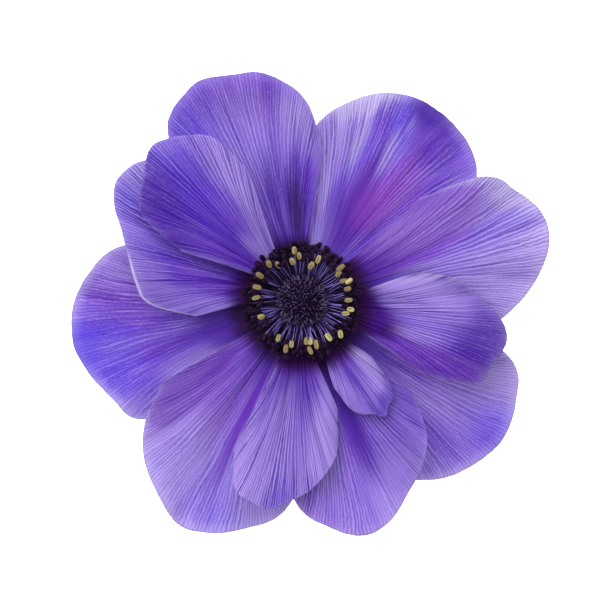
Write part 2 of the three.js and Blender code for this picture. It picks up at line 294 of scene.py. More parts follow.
TEPALS = (
    Tepal(
        "tepal_upper_right", layer=0, span=(28, 92), tip=53,
        reach=(34, 40, 42.4, 43.0, 43.1, 41.5, 38.2, 33.7, 26),
        pleat=0.7, folds=2.6, phase=0.1, twist=0, curl=0,
        ground="violet", veins=33, creases=9, dark=0.04, vein_share=0.8, rim_share=0.1,
        patches=(
            ("pale", 0.87, 0.85, 0.2, 0.35, 1), ("pale", 0.79, 0.52, 0.05, 0.16, 0.8),
            ("white", 0.66, 0.72, 0.04, 0.16, 0.5), ("white", 0.68, 0.98, 0.16, 0.1, 0.7),
            ("magenta", 0.34, 0.55, 0.13, 0.26, 0.7), ("deep", 0.54, 0.42, 0.1, 0.26, 0.85),
            ("blue", 0.62, 0.56, 0.06, 0.22, 0.5), ("blue", 0.5, 0.92, 0.08, 0.2, 0.8),
            ("white", 0.5, 0.7, 0.03, 0.14, 0.35), ("purple", 0.56, 0.43, 0.1, 0.2, 0.8),
            ("pale", 0.8, 0.22, 0.16, 0.16, 0.7), ("violet", 0.33, 0.9, 0.12, 0.12, 0.5),
            ("deep", 0.3, 0.98, 0.06, 0.08, 0.9), ("pale", 0.08, 0.95, 0.12, 0.2, 0.6),
        ),
        marks=(
            ("deep", 0.54, 0.5, 0.06, 0.2, 0.6, 1.1), ("deep", 0.36, 0.86, 0.12, 0.12, 0.45, 1.1),
            ("deep", 0.5, 0.34, 0.18, 0.2, 0.85, 1.2), ("magenta", 0.42, 0.44, 0.12, 0.14, 0.35, 1.2),
            ("violet", 0.2, 0.97, 0.16, 0.08, 0.4, 1.0), ("deep", 0.43, 0.97, 0.1, 0.09, 0.9, 1.1),
        ),
    ),
    Tepal(
        "tepal_lower_right", layer=0, span=(-75, -8), tip=-36,
        reach=(27, 35, 39, 42.4, 44.2, 44.9, 43.5, 40.8, 31),
        pleat=0.65, folds=2.2, phase=0.55, twist=0, curl=0,
        ground="violet", veins=35, creases=7, dark=0.42, vein_share=0.75, rim_share=0.1,
        patches=(
            ("pale", 0.84, 0.92, 0.18, 0.24, 1), ("blue", 0.61, 0.9, 0.13, 0.17, 0.7),
            ("pale", 0.76, 0.98, 0.12, 0.1, 0.8), ("pale", 0.15, 0.95, 0.12, 0.15, 0.5),
            ("lilac", 0.46, 0.97, 0.25, 0.13, 0.6), ("deep", 0.3, 0.4, 0.2, 0.3, 0.6),
            ("purple", 0.6, 0.6, 0.2, 0.3, 0.4), ("pale", 0.55, 0.6, 0.06, 0.2, 0.4),
            ("pale", 0.7, 0.75, 0.25, 0.2, 0.4),
        ),
        marks=(
            ("blue", 0.62, 0.95, 0.1, 0.1, 0.35, 1.1),
        ),
    ),
    Tepal(
        "tepal_left", layer=0, span=(156, 224), tip=192,
        reach=(28, 36.1, 40, 42.4, 43, 41.7, 39.5, 37.5, 28),
        pleat=0.65, folds=2.4, phase=0.3, twist=0, curl=0,
        ground="violet", veins=33, creases=8, dark=0.5, vein_share=0.7, rim_share=0.15,
        patches=(
            ("blue", 0.57, 0.92, 0.26, 0.22, 0.85), ("purple", 0.25, 0.75, 0.2, 0.35, 0.6),
            ("pale", 0.84, 0.52, 0.12, 0.2, 0.7), ("pale", 0.14, 0.88, 0.16, 0.24, 0.55),
            ("deep", 0.5, 0.4, 0.2, 0.25, 0.4), ("blue", 0.52, 1.0, 0.1, 0.1, 0.6),
            ("pale", 0.9, 0.95, 0.12, 0.2, 0.4),
        ),
        marks=(
            ("blue", 0.53, 0.96, 0.1, 0.09, 0.6, 1.1), ("pale", 0.82, 0.54, 0.12, 0.2, 0.4, 1.2),
            ("deep", 0.66, 0.3, 0.3, 0.12, 0.6, 1.0), ("deep", 0.68, 0.5, 0.12, 0.2, 0.5, 1.2),
        ),
    ),
    Tepal(
        "tepal_top", layer=1, span=(82, 134), tip=116,
        reach=(28, 36.5, 40.7, 43.1, 43.8, 44.8, 43.6, 40.8, 33),
        pleat=0.9, folds=2.1, phase=0.7, twist=0.8, curl=1.1,
        ground="violet", veins=28, creases=9, dark=0.32, vein_share=0.85, rim_share=0.15,
        patches=(
            ("pale", 0.52, 0.68, 0.28, 0.22, 0.4), ("blue", 0.76, 0.92, 0.24, 0.3, 0.9),
            ("purple", 0.44, 0.94, 0.3, 0.2, 0.7), ("deep", 0.5, 0.95, 0.4, 0.14, 0.6),
            ("deep", 0.32, 0.92, 0.14, 0.1, 0.2), ("pale", 0.14, 0.92, 0.12, 0.2, 0.8),
            ("pale", 0.5, 0.72, 0.24, 0.18, 0.25), ("deep", 0.4, 0.4, 0.12, 0.25, 0.7),
            ("deep", 0.18, 0.38, 0.13, 0.28, 0.9), ("pale", 0.2, 0.8, 0.1, 0.14, 0.6),
        ),
        marks=(
            ("violet", 0.45, 1.02, 0.5, 0.1, 0.35, 1.0), ("shade", 0.22, 0.32, 0.1, 0.24, 0.7, 1.2),
        ),
    ),
    Tepal(
        "tepal_right", layer=1, span=(-14, 41), tip=17,
        reach=(26, 35, 40.2, 44.1, 46.8, 47.1, 44.4, 41, 29),
        pleat=0.9, folds=2.3, phase=0.2, twist=0.6, curl=1.3,
        ground="violet", veins=30, creases=9, dark=0.42, vein_share=0.9, rim_share=0.1,
        patches=(
            ("pale", 0.42, 0.9, 0.35, 0.35, 0.9), ("pale", 0.3, 0.6, 0.15, 0.3, 0.6),
            ("pale", 0.86, 0.64, 0.2, 0.35, 0.7), ("white", 0.78, 1.0, 0.14, 0.1, 0.7),
            ("white", 0.5, 0.98, 0.3, 0.1, 0.2), ("blue", 0.62, 0.75, 0.06, 0.25, 0.35),
            ("deep", 0.72, 0.4, 0.06, 0.28, 0.6), ("pale", 0.52, 0.44, 0.07, 0.18, 0.6),
        ),
        marks=(
            # Painted shade where the tepal beneath holds back the light from below
            ("purple", 1.15, 0.3, 0.6, 0.7, 0.3, 0.06),
        ),
    ),
    Tepal(
        "tepal_bottom_left", layer=1, span=(210, 272), tip=243,
        reach=(30, 36.8, 41.5, 44.5, 47.1, 45.9, 43, 39.6, 32),
        pleat=0.9, folds=2.7, phase=0.45, twist=-0.7, curl=1.0,
        ground="lilac", veins=31, creases=9, dark=0.4, vein_share=0.75, rim_share=0.1,
        patches=(
            ("pale", 0.35, 0.85, 0.4, 0.32, 0.7), ("purple", 0.1, 0.7, 0.14, 0.4, 0.5),
            ("purple", 0.35, 0.5, 0.2, 0.2, 0.4), ("blue", 0.62, 0.85, 0.14, 0.3, 0.5),
            ("pale", 0.9, 0.95, 0.12, 0.15, 0.5), ("pale", 0.42, 1.0, 0.25, 0.06, 0.8),
            ("pale", 0.64, 0.7, 0.14, 0.14, 0.5), ("pale", 0.78, 0.88, 0.14, 0.16, 0.6),
        ),
        marks=(
            # Painted shade in a fold, then where the tepal beneath holds back the light from below
            ("ink", 0.535, 0.34, 0.04, 0.26, 1, 0.9), ("ink", 0.545, 0.62, 0.04, 0.2, 0.6, 1.2),
            ("deep", 0.0, 0.66, 0.24, 0.36, 0.3, 0.08),
        ),
    ),
    Tepal(
        "tepal_left_front", layer=2, span=(130, 188), tip=148.5,
        reach=(32, 38.3, 40.7, 39.4, 35.6, 32.9, 31, 28.4, 20),
        pleat=0.9, folds=2.1, phase=0.85, twist=1.2, curl=1.6,
        ground="violet", veins=28, creases=7, dark=0.44, vein_share=1, rim_share=0.5,
        patches=(
            ("pale", 0.3, 0.95, 0.26, 0.16, 1), ("blue", 0.4, 0.84, 0.2, 0.25, 0.75),
            ("lilac", 0.44, 0.8, 0.1, 0.2, 0.5), ("deep", 0.5, 0.5, 0.2, 0.3, 0.25),
            ("silver", 0.95, 0.75, 0.16, 0.3, 0.6), ("pale", 0.7, 0.88, 0.14, 0.14, 0.5),
            ("deep", 0.9, 0.3, 0.2, 0.14, 0.8),
        ),
        marks=(
            ("white", 0.8, 1.0, 0.2, 0.02, 0.7, 0.5),
        ),
    ),
    Tepal(
        "tepal_right_front", layer=2, span=(-31, 14), tip=-11,
        reach=(26, 35.3, 36.7, 38, 38, 35.5, 31.8, 28.6, 22),
        pleat=0.8, folds=1.8, phase=0.6, twist=1.3, curl=2.2,
        ground="violet", veins=23, creases=9, dark=0.48, vein_share=1, rim_share=0.2,
        patches=(
            ("silver", 0.96, 0.62, 0.18, 0.32, 0.8), ("white", 0.97, 0.88, 0.12, 0.25, 0.8),
            ("silver", 0.7, 0.62, 0.3, 0.36, 0.8), ("silver", 0.3, 0.52, 0.1, 0.22, 0.7),
            ("deep", 0.36, 0.95, 0.3, 0.25, 0.85), ("purple", 0.1, 0.75, 0.16, 0.35, 0.6),
        ),
        marks=(
            ("silver", 0.93, 0.7, 0.1, 0.2, 0.35, 1.0), ("silver", 0.72, 0.8, 0.14, 0.16, 0.25, 1.0),
            # Shade marks: dark base, partly painted shade; the deep mark at the tip: painted shade from the
            # tepal beneath
            ("shade", 0.2, 0.3, 0.3, 0.16, 0.95, 1.0), ("shade", 0.75, 0.2, 0.4, 0.14, 0.8, 1.0),
            ("shade", 0.55, 0.26, 0.3, 0.12, 0.8, 1.0), ("deep", 0.3, 1.1, 0.46, 0.34, 0.25, 0.2),
        ),
    ),
    Tepal(
        "tepal_bottom_right", layer=2, span=(-98, -40), tip=-75,
        reach=(30, 38.2, 41.9, 44.4, 43.9, 40.6, 37.7, 33.8, 27),
        pleat=0.9, folds=2.5, phase=0.15, twist=0.6, curl=1.7,
        ground="violet", veins=30, creases=8, dark=0.48, vein_share=0.9, rim_share=0.2,
        patches=(
            ("pale", 0.6, 0.92, 0.26, 0.26, 1), ("pale", 0.4, 1.0, 0.3, 0.1, 0.9),
            ("white", 0.6, 0.9, 0.2, 0.16, 0.9), ("white", 0.42, 0.93, 0.3, 0.12, 0.7),
            ("pale", 0.42, 0.66, 0.08, 0.16, 0.5), ("purple", 0.2, 0.92, 0.14, 0.2, 0.7),
            ("blue", 0.72, 0.62, 0.25, 0.3, 0.35), ("blue", 0.43, 0.99, 0.07, 0.08, 0.4),
            ("lilac", 0.55, 0.75, 0.5, 0.4, 1), ("pale", 0.75, 0.75, 0.3, 0.2, 0.3),
            ("pale", 0.3, 0.66, 0.1, 0.22, 0.4),
        ),
        marks=(
            # The deep marks are painted shade: in a crease, then where the tepal beneath holds back the
            # light
            ("pale", 0.6, 0.9, 0.16, 0.14, 0.3, 1.2), ("deep", 0.53, 0.52, 0.08, 0.28, 0.9, 1.2),
            ("deep", 0.95, 0.55, 0.48, 0.6, 0.12, 0.08),
        ),
    ),
    Tepal(
        "tepal_upper_left_front", layer=3, span=(112.5, 157.5), tip=133,
        reach=(26, 33.8, 36.7, 38.7, 39.5, 37.6, 35.7, 33.3, 24),
        pleat=0.8, folds=1.7, phase=0.35, twist=-0.6, curl=2.6,
        ground="violet", veins=23, creases=8, dark=0.05, vein_share=0.95, rim_share=0.3,
        patches=(
            ("blue", 0.55, 0.72, 0.3, 0.4, 0.7), ("deep", 0.82, 0.85, 0.18, 0.3, 0.6),
            ("silver", 0.06, 0.7, 0.26, 0.45, 0.95), ("silver", 0.2, 0.25, 0.22, 0.2, 0.8),
            ("deep", 0.66, 0.9, 0.14, 0.16, 0.6), ("violet", 0.36, 0.5, 0.2, 0.2, 0.6),
            ("silver", 0.45, 0.26, 0.16, 0.12, 0.6),
        ),
        marks=(
            # Painted shade where the tepals beneath hold back the light from below
            ("deep", 0.8, 0.6, 0.36, 0.42, 0.25, 0.08),
        ),
    ),
    Tepal(
        "tepal_bottom_front", layer=3, span=(245, 288), tip=260.5,
        reach=(30, 36.7, 38, 38.6, 36.8, 35.1, 32.3, 28.7, 21),
        pleat=0.8, folds=2.0, phase=0.75, twist=0.7, curl=2.4,
        ground="lilac", veins=24, creases=8, dark=0.46, vein_share=1, rim_share=0.4,
        patches=(
            ("silver", 0.3, 0.65, 0.35, 0.45, 0.55), ("silver", 0.8, 0.82, 0.22, 0.3, 1),
            ("silver", 0.1, 0.86, 0.16, 0.26, 0.9), ("silver", 0.4, 0.6, 0.12, 0.25, 0.3),
            ("silver", 0.5, 0.9, 0.5, 0.2, 0.35), ("blue", 0.42, 0.97, 0.1, 0.1, 0.6),
            ("deep", 0.62, 0.4, 0.06, 0.3, 0.5),
        ),
        marks=(
            ("silver", 0.84, 0.82, 0.14, 0.26, 0.25, 1.0),
        ),
    ),
    Tepal(
        "tepal_small_front", layer=3, span=(-70, -39), tip=-54,
        reach=(17, 21.6, 23.5, 24.4, 26, 24.9, 24.3, 21.5, 16.5),
        pleat=0.5, folds=1.4, phase=0.5, twist=0.5, curl=1.0,
        ground="violet", veins=12, creases=5, dark=0.46, vein_share=1, rim_share=0.4,
        patches=(
            ("silver", 0.55, 0.55, 0.9, 0.7, 0.6), ("silver", 0.74, 0.7, 0.2, 0.3, 0.8),
            ("white", 1.0, 0.6, 0.2, 0.45, 0.7), ("silver", 0.0, 0.78, 0.2, 0.3, 0.5),
            ("violet", 0.5, 0.42, 0.28, 0.36, 0.9), ("blue", 0.6, 1.0, 0.3, 0.14, 0.6),
        ),
        marks=(
            ("silver", 0.78, 0.7, 0.2, 0.28, 0.2, 1.0), ("silver", 0.15, 0.76, 0.14, 0.2, 0.15, 1.0),
            ("deep", 0.05, 0.35, 0.2, 0.35, 0.7, 1.0), ("deep", 0.65, 0.97, 0.25, 0.1, 0.4, 1.0),
        ),
    ),
)

# Azimuth in degrees and distance from the axis in millimetres of each anther that has shed yellow pollen
YELLOW_ANTHERS = (
    (104, 7.5), (94, 8.3), (99, 9.4), (76, 6.7), (69, 8.2), (41, 9.3), (37, 8.3), (26, 8.4), (23, 9.3),
    (15, 8.6), (1, 8.5), (-16, 8.3), (-10, 9.0), (-41, 9.3), (-54, 8.2), (-72, 8.4), (-79, 7.5), (-84, 7.4),
    (-81, 9.2), (-104, 8.2), (-109, 9.3), (-123, 8.1), (-211, 9.1), (-197, 8.7), (-184, 8.5), (-159, 8.1),
    (132, 9.1), (124, 8.0),
)


def arithmetic(operation):
    """An operator of the class below and its reflected form, each of which adds a Math node."""
    def forward(self, other):
        return self.math(operation, self, other)

    def reflected(self, other):
        return self.math(operation, other, self)

    return forward, reflected


class Number:
    """A number socket whose arithmetic in Python adds Math nodes."""

    def __init__(self, shader, socket):
        self.shader = shader
        self.socket = socket

    def math(self, operation, *values):
        """The result of one Math node on the given values."""
        node = self.shader.node("ShaderNodeMath", {"operation": operation}, dict(enumerate(values)))
        return Number(self.shader, node.outputs[0])

    __add__, __radd__ = arithmetic("ADD")
    __sub__, __rsub__ = arithmetic("SUBTRACT")
    __mul__, __rmul__ = arithmetic("MULTIPLY")
    __truediv__, __rtruediv__ = arithmetic("DIVIDE")

    def larger(self, other):
        """The larger of two numbers."""
        return self.math("MAXIMUM", self, other)

    def size(self):
        """The number without its sign."""
        return self.math("ABSOLUTE", self)

    def from_whole(self):
        """Distance from the nearest whole number."""
        return 0.5 - (self.math("FRACT", self) - 0.5).size()

    def ease(self, start, end, low=0.0, high=1.0):
        """Runs smoothly from low to high while the number runs from start to end."""
        settings = {"interpolation_type": "SMOOTHSTEP"}
        node = self.shader.node("ShaderNodeMapRange", settings, {
            "Value": self, "From Min": start, "From Max": end, "To Min": low, "To Max": high,
        })
        return Number(self.shader, node.outputs[0])


class Shader:
    """A material's node tree."""

    def __init__(self, name):
        self.material = bpy.data.materials.new(name)
        self.material.use_nodes = True
        self.tree = self.material.node_tree
        self.tree.nodes.clear()

    def node(self, kind, settings, inputs):
        """Adds a node: its settings first, then its sockets' values or links."""
        node = self.tree.nodes.new(kind)
        for name, value in settings.items():
            setattr(node, name, value)
        for key, value in inputs.items():
            socket = value.socket if isinstance(value, Number) else value
            if isinstance(socket, bpy.types.NodeSocket):
                self.tree.links.new(socket, node.inputs[key])
            else:
                node.inputs[key].default_value = socket
        return node

    def mix(self, first, second, share):
        """A colour between two."""
        settings = {"data_type": "RGBA", "blend_type": "MIX"}
        node = self.node("ShaderNodeMix", settings, {0: share, 6: opaque(first), 7: opaque(second)})
        return node.outputs[2]

    def pair(self, first, second):
        """A vector of two numbers."""
        return self.node("ShaderNodeCombineXYZ", {}, {0: first, 1: second}).outputs[0]

    def attribute(self, name):
        """A number that the mesh holds for each of its points."""
        node = self.node("ShaderNodeAttribute", {"attribute_name": name}, {})
        return Number(self, node.outputs["Fac"])

    def noise(self, vector, scale, detail=2.0, roughness=0.5):
        """Smooth noise about 0.5."""
        node = self.node("ShaderNodeTexNoise", {}, {
            "Vector": vector, "Scale": scale, "Detail": detail, "Roughness": roughness,
        })
        return Number(self, node.outputs[0])

    def stretch(self, vector, scale, shift=(0.0, 0.0, 0.0)):
        """The vector times scale, plus shift."""
        settings = {"operation": "MULTIPLY_ADD"}
        return self.node("ShaderNodeVectorMath", settings, {0: vector, 1: scale, 2: shift}).outputs[0]

    def finish(self, surface):
        """Links the surface to the output and returns the material."""
        self.node("ShaderNodeOutputMaterial", {}, {"Surface": surface})
        return self.material


def opaque(colour):
    """A colour value with full alpha, or a socket as it is."""
    if isinstance(colour, bpy.types.NodeSocket):
        return colour
    return (*colour[:3], 1.0)


def smooth_at(values, share):
    """A smooth curve through evenly spaced values, read at a share of its length."""
    last = len(values) - 1
    index = min(int(share * last), last - 1)
    local = share * last - index
    start, end = values[index], values[index + 1]
    start_slope = (end - values[max(index - 1, 0)]) / 2
    end_slope = (values[min(index + 2, last)] - start) / 2
    square = local * local
    cube = square * local
    return (
        start * (2 * cube - 3 * square + 1)
        + start_slope * (cube - 2 * square + local)
        + end * (3 * square - 2 * cube)
        + end_slope * (cube - square)
    )


def reach_at(tepal, across):
    """Distance from the axis to the tepal's margin, with a low point at its tip and a fine ripple."""
    start, end = tepal.span
    tip_share = (tepal.tip - start) / (end - start)
    from_tip = (across - tip_share) / POINT_WIDTH
    broad, fine = RIPPLE_WAVES
    ripple = RIPPLE_DEPTH * (
        noise.noise(Vector((across * broad, tepal.tip, 0.5)))
        + 0.5 * noise.noise(Vector((across * fine, tepal.tip, 4.5)))
    )
    return smooth_at(tepal.reach, across) + POINT_HEIGHT * math.exp(-from_tip * from_tip) + ripple


def crease_at(tepal, across, along):
    """How far a point lies from the tepal's creases: 0 in a crease, 1 on the crest between two."""
    wander = CREASE_WANDER * math.sin(2 * math.pi * (CREASE_BENDS * across + tepal.phase) + 2 * along)
    return abs(math.sin(math.pi * (tepal.creases * across + wander))) ** CREASE_SHARPNESS


def crease_strength(tepal, across, along):
    """How deep the creases are: none at the claw, most halfway, little at the margin."""
    waves, waves_along = CREASE_WAVES
    some = 0.65 + 0.7 * noise.noise(Vector((across * waves, along * waves_along, tepal.tip + 9)))
    return some * min(along / CREASE_FULL_AT, 1) * (1 - CREASE_FADE * along ** 3)


def height_at(tepal, across, along, radius, relief):
    """Height of the tepal's middle surface: the form of the solids, plus creases and dents."""
    layer = LAYERS[tepal.layer]
    out = max(radius - CLAW_RADIUS, 0) / (FULL_RADIUS - CLAW_RADIUS)
    side = 2 * across - 1
    fold = math.sin(2 * math.pi * (tepal.folds * across + tepal.phase))
    ruffle = math.sin(2 * math.pi * (RUFFLE_COUNT * across + 2 * tepal.phase))
    waves, waves_along = DENT_WAVES
    dents = DENT_HEIGHT * noise.noise(Vector((across * waves, along * waves_along, tepal.tip)))
    crest = crease_at(tepal, across, along) - CREASE_LEVEL
    crease = CREASE_DEPTH * crest * crease_strength(tepal, across, along)
    return (
        LOWEST_CLAW_HEIGHT
        + LAYER_STEP * tepal.layer
        + layer.rise * out ** layer.power
        + (layer.cup * side * side + tepal.twist * side + tepal.pleat * fold) * out
        + RUFFLE_HEIGHT * along ** RUFFLE_POWER * ruffle * out
        - (tepal.curl + tepal.droop) * along ** CURL_POWER
        + relief * (dents + crease) * min(out * 3, 1)
    )


def tepal_point(tepal, across, along, relief):
    """A point of the tepal's middle surface, in the frame's metres."""
    start, end = tepal.span
    spread = 1 - LAYERS[tepal.layer].narrowing * (1 - along) ** NARROWING_POWER
    azimuth = math.radians(tepal.tip + spread * (start + (end - start) * across - tepal.tip))
    radius = CLAW_RADIUS + (reach_at(tepal, across) - CLAW_RADIUS) * along
    height = height_at(tepal, across, along, radius, relief)
    return AXIS + Vector((radius * math.cos(azimuth), radius * math.sin(azimuth), height)) * MM


def settle(tepal, settings):
    """Sinks a lowest tepal until its lowest point lies on the surface."""
    steps = SETTLING_STEPS
    for _ in range(SETTLING_ROUNDS):
        lowest = min(
            tepal_point(tepal, i / steps, j / steps, settings.relief).z
            for i in range(steps + 1) for j in range(steps // 2, steps + 1)
        )
        tepal.droop += lowest / MM - settings.thickness / MM / 2


def new_mesh(name, bm):
    """Turns a bmesh into a mesh."""
    mesh = bpy.data.meshes.new(name)
    bm.to_mesh(mesh)
    bm.free()
    return mesh


def new_object(name, bm, material):
    """Turns a bmesh into a smooth object of the scene with its material."""
    mesh = new_mesh(name, bm)
    for polygon in mesh.polygons:
        polygon.use_smooth = True
    mesh.materials.append(material)
    piece = bpy.data.objects.new(name, mesh)
    bpy.context.scene.collection.objects.link(piece)
    return piece


def dress(piece, node):
    """Puts a piece in the place of a solid."""
    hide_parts(node)
    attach(piece, "root")


def polar(radius, azimuth, height):
    """A point by its distance from the flower's axis, azimuth in radians and height, in millimetres."""
    return AXIS + Vector((radius * math.cos(azimuth), radius * math.sin(azimuth), height)) * MM


class Tissue:
    """The colour of petal tissue, and the share of light that passes each of its faces."""

    def __init__(self, shader, colours, ground):
        self.shader = shader
        self.colours = colours
        self.colour = opaque(colours[ground])
        self.clear = CLEARNESS[ground]

    def lay(self, name, share):
        """Lays one of the colours over the tissue."""
        self.colour = self.shader.mix(self.colour, self.colours[name], share)
        self.clear = self.clear + share * (CLEARNESS[name] - self.clear)

    def lay_area(self, vector, name, across, along, width, length, strength, softness):
        """Lays a colour over an oval area of the tepal."""
        scale = (1 / width, 1 / length, 1.0)
        place = self.shader.stretch(vector, scale, (-across / width, -along / length, 0.0))
        node = self.shader.node("ShaderNodeVectorMath", {"operation": "LENGTH"}, {0: place})
        distance = Number(self.shader, node.outputs["Value"])
        self.lay(name, distance.ease(1 + 0.4 * softness, 1 - 0.6 * softness, 0.0, strength))


class Grain:
    """Where each point of a tepal lies, and the waves of chance that its veins and colours follow.

    Straight and along run from 0 to 1 over the blade, and radius is in millimetres from the axis. Lane
    is straight with less of a spread towards the margin, so a line of one lane bends out to the side.
    """

    def __init__(self, shader, tepal):
        self.shader = shader
        blade = shader.node("ShaderNodeUVMap", {"uv_map": "Blade"}, {}).outputs[0]
        parts = shader.node("ShaderNodeSeparateXYZ", {}, {0: blade})
        self.straight = Number(shader, parts.outputs[0])
        self.along = Number(shader, parts.outputs[1])
        self.radius = shader.attribute("Radius")
        self.crest = shader.attribute("Crest")
        self.fan = 1 - self.radius * (VEIN_FAN / FULL_RADIUS)
        self.lane = 0.5 + (self.straight - 0.5) * self.fan
        self.spot = shader.pair(self.lane, self.radius / FULL_RADIUS)
        drift = self.waves(DRIFT_WAVES, (tepal.tip, 0.0, 0.0))
        quiver = self.waves(QUIVER_WAVES, (0.0, tepal.tip, 0.0))
        self.waver = (drift - 0.5) * DRIFT_SIZE + (quiver - 0.5) * QUIVER_SIZE
        self.across = self.straight + self.waver
        self.streaks = self.waves(STREAK_WAVES, (0.0, 0.0, tepal.tip), 4.0, 0.65)
        self.bands = self.waves(BAND_WAVES, (tepal.tip, 0.0, 3.0))
        self.mottle = self.waves(MOTTLE_WAVES, (0.0, tepal.tip, 7.0), 4.0, 0.8)

    def waves(self, counts, shift, *fineness):
        """Smooth noise about 0.5 with so many waves across the tepal and along it."""
        return self.shader.noise(self.shader.stretch(self.spot, (*counts, 1.0), shift), 1.0, *fineness)


def lay_ground(tissue, tepal, grain):
    """A pale margin, then patches, bands, streaks and specks, then painted shade in creases, highlight on
    crests.
    """
    sides = (2 * grain.straight - 1).size()
    margin = grain.along.ease(0.86, 1.0).larger(sides.ease(0.84, 1.0))
    tissue.lay("pale", margin * grain.bands.ease(0.3, 0.6, 0.25, 0.65))
    raggedness = (grain.streaks - 0.5) * 0.3 + (grain.bands - 0.5) * 0.2
    ragged = tissue.shader.pair(grain.across, grain.along + raggedness)
    for patch in tepal.patches:
        tissue.lay_area(ragged, *patch, softness=1.1)
    for waves, pale_at, pale_share, deep_at, deep_share in (
        (grain.bands, 0.75, 0.25, 0.3, 0.35),
        (grain.streaks, 0.75, 0.5, 0.25, 0.5),
        (grain.mottle, 0.7, 0.5, 0.3, 0.4),
    ):
        tissue.lay("pale", waves.ease(0.5, pale_at, 0.0, pale_share))
        tissue.lay("deep", waves.ease(0.48, deep_at, 0.0, deep_share))
    # Painted shade in the crease valleys, and a painted highlight on the crests between them
    tissue.lay("deep", grain.crest.ease(0.6, 0.0) * grain.bands.ease(0.3, 0.6, 0.35, 0.75))
    tissue.lay("pale", grain.crest.ease(0.75, 1.0, 0.0, 0.1))


def lay_veins(tissue, tepal, grain):
    """Veins that fork twice on their way to the margin, with pale tissue beside them. Returns the veins."""
    early = grain.waves((tepal.veins, VEIN_WAVES_ALONG), (tepal.tip, 0.0, 11.0))
    late = grain.waves((2.0 * tepal.veins, VEIN_WAVES_ALONG), (tepal.tip, 0.0, 13.0))
    lane = grain.lane + grain.waver + (early - 0.5) * (VEIN_STRAY / tepal.veins)
    first_fork = (grain.along + (early - 0.5) * 0.7).ease(*FIRST_FORK, 0.0, 0.25)
    second_fork = (grain.along + (late - 0.5) * 0.8).ease(*SECOND_FORK, 0.0, 0.125)
    from_vein = (((lane * tepal.veins).from_whole() - first_fork).size() - second_fork).size()
    arc = math.radians(tepal.span[1] - tepal.span[0])
    gap = from_vein * grain.radius * (arc / tepal.veins) / grain.fan
    tissue.lay("pale", gap.ease(VEIN_EDGE, 2 * VEIN_EDGE) * grain.streaks.ease(0.4, 0.7, 0.0, 0.4))
    veins = gap.ease(VEIN_EDGE, VEIN_CORE)
    broken = late.ease(0.35, 0.6, 1.0, 0.6)
    broken = broken * grain.streaks.ease(0.3, 0.7, 1.0, 0.85) * grain.bands.ease(0.35, 0.65, 1.0, 0.85)
    tissue.lay("vein", veins * broken * tepal.vein_share)
    return veins


def lay_rim(tissue, tepal, grain):
    """A thin pale line round the edge, and white towards the margin."""
    left, right = grain.straight.ease(0.012, 0.004), grain.straight.ease(0.988, 0.996)
    rim = grain.along.ease(0.982, 0.996).larger(left).larger(right)
    tissue.lay("pale", rim * grain.streaks.ease(0.35, 0.6, 0.0, tepal.rim_share))
    white = MARGIN_WHITE - MARGIN_WHITE_STEP * tepal.layer
    tissue.lay("white", grain.along.ease(0.94, 1.0, 0.0, white))


def lay_base(tissue, tepal, grain):
    """The dark base, in three tones that each end raggedly: part pigment, part painted shade."""
    ragged = (grain.streaks - 0.5) * BASE_RAGGEDNESS
    tissue.lay("deep", (grain.along + ragged).ease(tepal.dark, tepal.dark * 0.5, 0.0, 0.8))
    shade_end = SHADE_END + SHADE_GROWTH * tepal.dark
    tissue.lay("shade", (grain.radius + ragged * 25).ease(shade_end, shade_end * 0.75))
    tissue.lay("night", (grain.radius + ragged * 10).ease(NIGHT_END, NIGHT_FULL, 0.0, 0.9))


def tepal_material(tepal, colours, underside=False):
    """Petal tissue: patches, veins, a rim and a dark base, with some of the light behind coming through."""
    shader = Shader(tepal.name + ("_underside" if underside else ""))
    grain = Grain(shader, tepal)
    tissue = Tissue(shader, colours, tepal.ground)
    lay_ground(tissue, tepal, grain)
    veins = lay_veins(tissue, tepal, grain)
    lay_rim(tissue, tepal, grain)
    even = shader.pair(grain.across, grain.along)
    # Marks, some of them painted shade in folds and where a tepal beneath holds back the light
    for mark in tepal.marks:
        tissue.lay_area(even, *mark)
    # The dark base, partly pigment and partly painted shade under the stamens and the tepals above
    lay_base(tissue, tepal, grain)
    if underside:
        tissue.lay("silk", 0.5)

    bump = shader.node("ShaderNodeBump", {}, {
        "Strength": 0.6, "Distance": 0.00012, "Height": grain.streaks * 0.5 + grain.mottle * 0.3 - veins,
    })
    front = shader.node("ShaderNodeBsdfPrincipled", {}, {
        "Base Color": tissue.colour, "Roughness": 0.55, "Normal": bump.outputs[0],
        "Specular IOR Level": 0.08,
    })
    through = shader.node("ShaderNodeBsdfTranslucent", {}, {"Color": opaque(colours["light_through"])})
    surface = shader.node("ShaderNodeMixShader", {}, {
        0: tissue.clear, 1: front.outputs[0], 2: through.outputs[0],
    })
    return shader.finish(surface.outputs[0])


